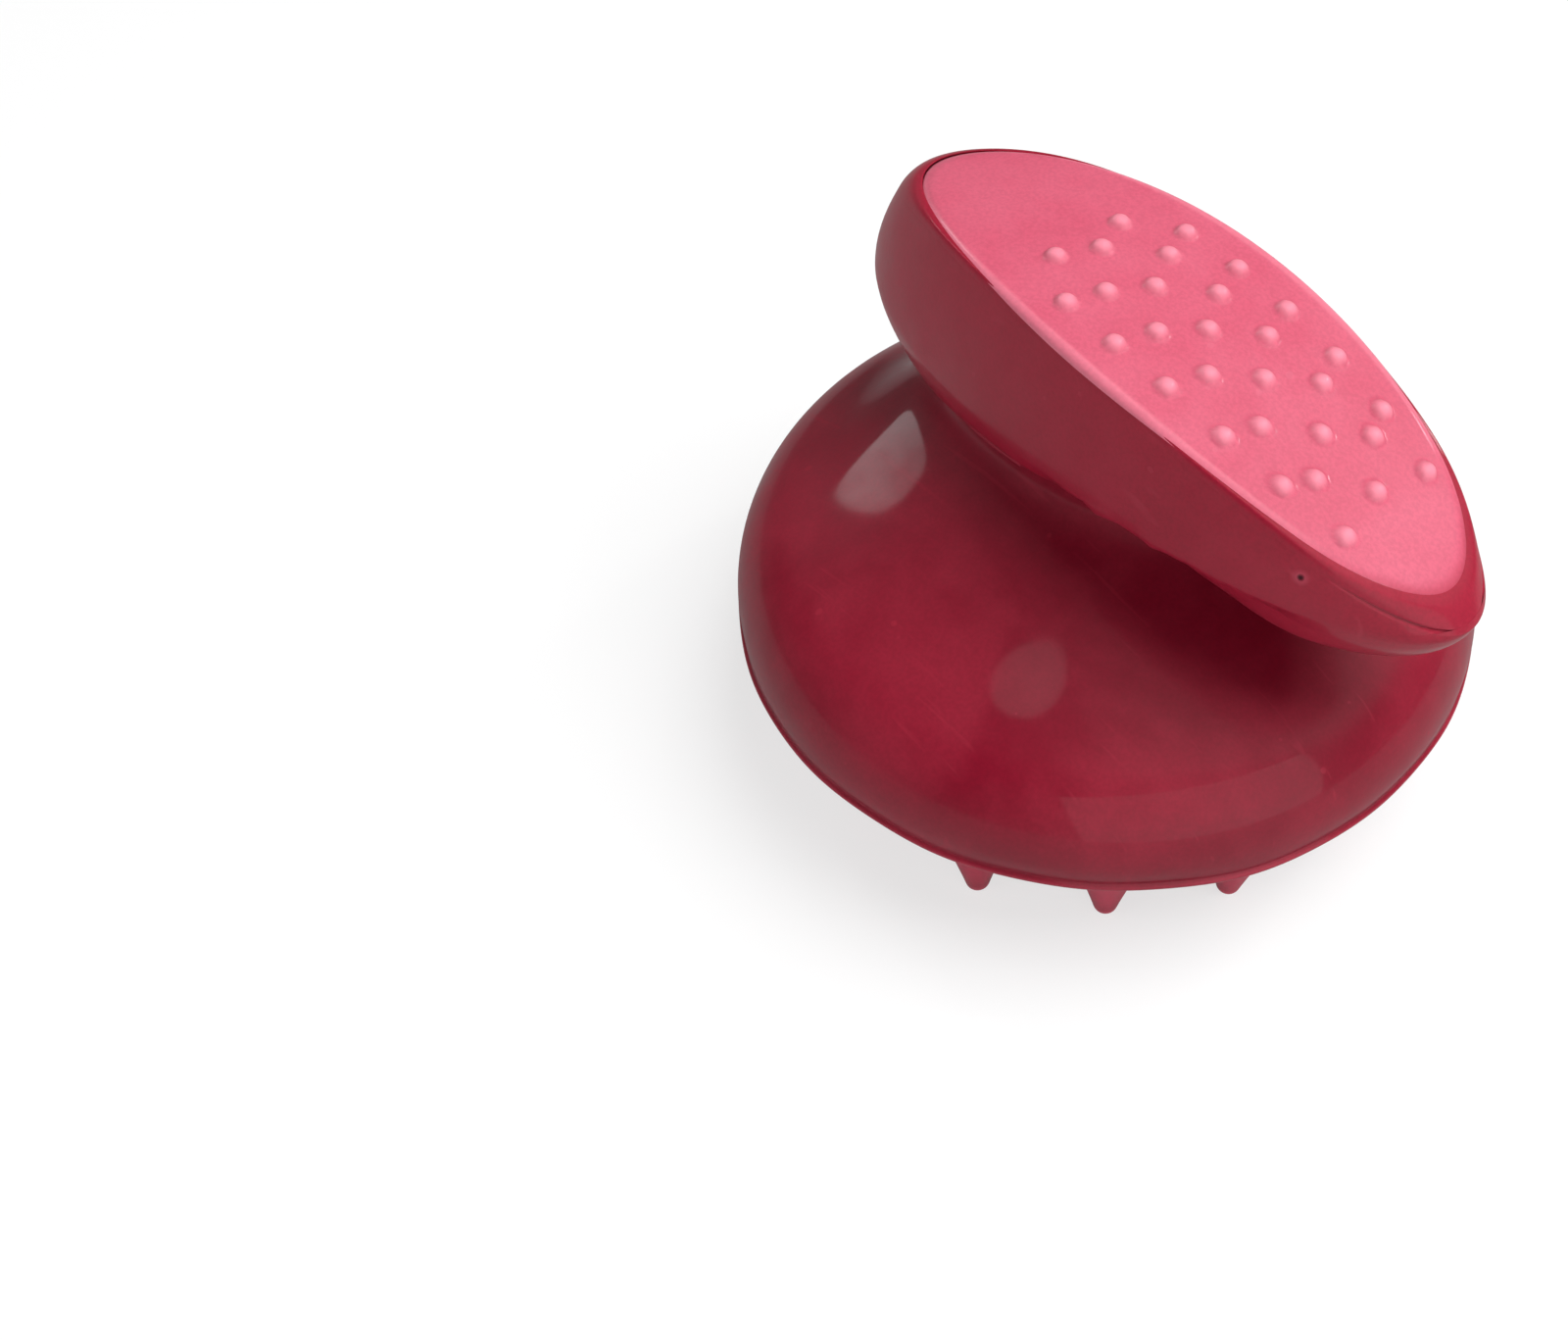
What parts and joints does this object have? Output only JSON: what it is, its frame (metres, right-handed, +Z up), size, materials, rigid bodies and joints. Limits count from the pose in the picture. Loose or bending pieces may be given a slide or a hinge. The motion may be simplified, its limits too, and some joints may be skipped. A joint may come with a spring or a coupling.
{
  "type": "scalp massager brush",
  "caption": "Hand-held scalp massager: a low oval palm grip with a dotted pad on a short neck above a domed rubber head with soft cone bristles.",
  "frame": {"origin": "the head's axis at the plane of the bristle tips, on which the brush stands", "axes": "+Z up along the head's axis, out through the grip; X along the grip, with its high blunt end at -X and its low end at +X"},
  "size_m": [0.0813, 0.08, 0.0552],
  "materials": {
    "head_rubber": "satin moulded rubber, dark red",
    "grip_rubber": "satin moulded rubber, dark red",
    "pad_rubber": "soft satin rubber, pink",
    "band_rubber": "satin rubber, dusty pink",
    "plate_rubber": "satin moulded rubber, dark red",
    "bristle_rubber": "satin soft rubber, crimson"
  },
  "bodies": {
    "root": {"domed_head": "head_rubber", "grip_body": "grip_rubber", "palm_pad": "pad_rubber", "bristle_plate": "plate_rubber", "outer_band": "band_rubber", "middle_band": "band_rubber", "inner_band": "band_rubber", "centre_bristle": "bristle_rubber", "outer_bristle_01": "bristle_rubber", "outer_bristle_02": "bristle_rubber", "outer_bristle_03": "bristle_rubber", "outer_bristle_04": "bristle_rubber", "outer_bristle_05": "bristle_rubber", "outer_bristle_06": "bristle_rubber", "outer_bristle_07": "bristle_rubber", "outer_bristle_08": "bristle_rubber", "outer_bristle_09": "bristle_rubber", "outer_bristle_10": "bristle_rubber", "outer_bristle_11": "bristle_rubber", "outer_bristle_12": "bristle_rubber", "outer_bristle_13": "bristle_rubber", "outer_bristle_14": "bristle_rubber", "outer_bristle_15": "bristle_rubber", "outer_bristle_16": "bristle_rubber", "middle_bristle_01": "bristle_rubber", "middle_bristle_02": "bristle_rubber", "middle_bristle_03": "bristle_rubber", "middle_bristle_04": "bristle_rubber", "middle_bristle_05": "bristle_rubber", "middle_bristle_06": "bristle_rubber", "middle_bristle_07": "bristle_rubber", "middle_bristle_08": "bristle_rubber", "middle_bristle_09": "bristle_rubber", "middle_bristle_10": "bristle_rubber", "middle_bristle_11": "bristle_rubber", "middle_bristle_12": "bristle_rubber", "inner_bristle_01": "bristle_rubber", "inner_bristle_02": "bristle_rubber", "inner_bristle_03": "bristle_rubber", "inner_bristle_04": "bristle_rubber", "inner_bristle_05": "bristle_rubber", "inner_bristle_06": "bristle_rubber", "inner_bristle_07": "bristle_rubber", "inner_bristle_08": "bristle_rubber"}
  },
  "joints": []
}
